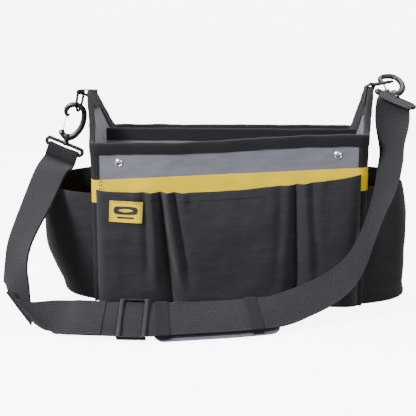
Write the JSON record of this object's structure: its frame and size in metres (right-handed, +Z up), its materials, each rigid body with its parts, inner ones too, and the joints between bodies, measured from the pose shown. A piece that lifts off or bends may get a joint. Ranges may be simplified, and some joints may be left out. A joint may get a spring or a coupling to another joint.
{
  "type": "garden tool bag",
  "caption": "Open-top fabric tool bag with gable ends, a centre divider, outside pockets all round and a padded shoulder strap on swivel snap hooks.",
  "frame": {"origin": "on the ground, under the middle of the bag's base", "axes": "+X along the bag's length, to the right seen from the labelled front; +Y to the rear; +Z up"},
  "size_m": [0.5947, 0.4139, 0.3427],
  "materials": {
    "grey_fabric": "woven, matt",
    "black_fabric": "woven, matt",
    "black_tape": "ribbed tape",
    "webbing": "coarse ribbed webbing",
    "yellow_tape": "smooth tape",
    "yellow_patch": "satin",
    "stiffener_board": "matt",
    "silver_metal": "satin",
    "black_metal": "satin black",
    "black_plastic": "moulded, satin",
    "grey_rubber": "matt"
  },
  "bodies": {
    "bag": {"front_panel": "grey_fabric", "rear_panel": "grey_fabric", "liner": "grey_fabric", "divider_panel": "grey_fabric", "base_panel": "black_fabric", "left_end_panel": "black_fabric", "right_end_panel": "black_fabric", "front_pocket_left": "black_fabric", "front_pocket_centre": "black_fabric", "front_pocket_right": "black_fabric", "rear_pocket_left": "black_fabric", "rear_pocket_centre": "black_fabric", "rear_pocket_right": "black_fabric", "left_end_pocket": "black_fabric", "right_end_pocket": "black_fabric", "rim_binding_front": "black_tape", "rim_binding_rear": "black_tape", "rim_binding_left": "black_tape", "rim_binding_right": "black_tape", "corner_tape_front_left": "black_tape", "corner_tape_front_right": "black_tape", "corner_tape_rear_left": "black_tape", "corner_tape_rear_right": "black_tape", "divider_binding": "black_tape", "strap": "webbing", "strap_return": "webbing", "left_tab": "webbing", "right_tab": "webbing", "yellow_band": "yellow_tape", "label": "yellow_patch", "base_board": "stiffener_board", "front_board": "stiffener_board", "rear_board": "stiffener_board", "left_board": "stiffener_board", "right_board": "stiffener_board", "rivet_front_left": "silver_metal", "rivet_front_right": "silver_metal", "rivet_rear_left": "silver_metal", "rivet_rear_right": "silver_metal", "washer_front_left": "silver_metal", "washer_front_right": "silver_metal", "washer_rear_left": "silver_metal", "washer_rear_right": "silver_metal"},
    "left_clip": {"left_ring": "black_metal", "left_swivel_eye": "black_plastic", "left_strap_loop": "webbing"},
    "left_hook_body": {"left_hook": "black_plastic", "left_gate_pin": "silver_metal"},
    "left_gate_leaf": {"left_gate": "black_metal"},
    "right_clip": {"right_ring": "black_metal", "right_swivel_eye": "black_plastic", "right_strap_loop": "webbing"},
    "right_hook_body": {"right_hook": "black_plastic", "right_gate_pin": "silver_metal"},
    "right_gate_leaf": {"right_gate": "black_metal"},
    "slider": {"strap_slider": "black_plastic"},
    "pad": {"shoulder_pad": "black_fabric", "pad_grip": "grey_rubber", "pad_keeper_left": "black_tape", "pad_keeper_right": "black_tape"}
  },
  "joints": [
    {"name": "left_clip_swing", "type": "hinge", "parent": "bag", "child": "left_clip", "pos_m": [-0.2376, 0, 0.3142], "axis": [0, 1, 0], "range_deg": [-8, 20], "deforming": ["strap", "strap_return"]},
    {"name": "left_hook_swivel", "type": "hinge", "parent": "left_clip", "child": "left_hook_body", "pos_m": [-0.26332, 0, 0.23711], "axis": [0.2251, 0, 0.9743], "range_deg": [-10, 10]},
    {"name": "left_gate_hinge", "type": "hinge", "parent": "left_hook_body", "child": "left_gate_leaf", "pos_m": [-0.27097, 0, 0.24976], "axis": [0, 1, 0], "range_deg": [0, 25], "stiffness_Nm_per_rad": 0.02, "springref_deg": -11.46},
    {"name": "right_clip_swing", "type": "hinge", "parent": "bag", "child": "right_clip", "pos_m": [0.2196, 0, 0.3255], "axis": [0, 1, 0], "range_deg": [-8, 12], "deforming": ["strap"]},
    {"name": "right_hook_swivel", "type": "hinge", "parent": "right_clip", "child": "right_hook_body", "pos_m": [0.24972, -0.03694, 0.30974], "axis": [-0.166, 0.8569, 0.488], "range_deg": [-6, 6]},
    {"name": "right_gate_hinge", "type": "hinge", "parent": "right_hook_body", "child": "right_gate_leaf", "pos_m": [0.23784, -0.02978, 0.31487], "axis": [-0.0873, 0.4801, -0.8728], "range_deg": [0, 25], "stiffness_Nm_per_rad": 0.02, "springref_deg": -11.46},
    {"name": "slider_slide", "type": "slide", "parent": "bag", "child": "slider", "axis": [0.9999, -0.0138, 0.0099], "range_m": [-0.015, 0]},
    {"name": "pad_slide", "type": "slide", "parent": "bag", "child": "pad", "axis": [0.9832, 0.1824, 0], "range_m": [-0.004, 0.004]}
  ]
}
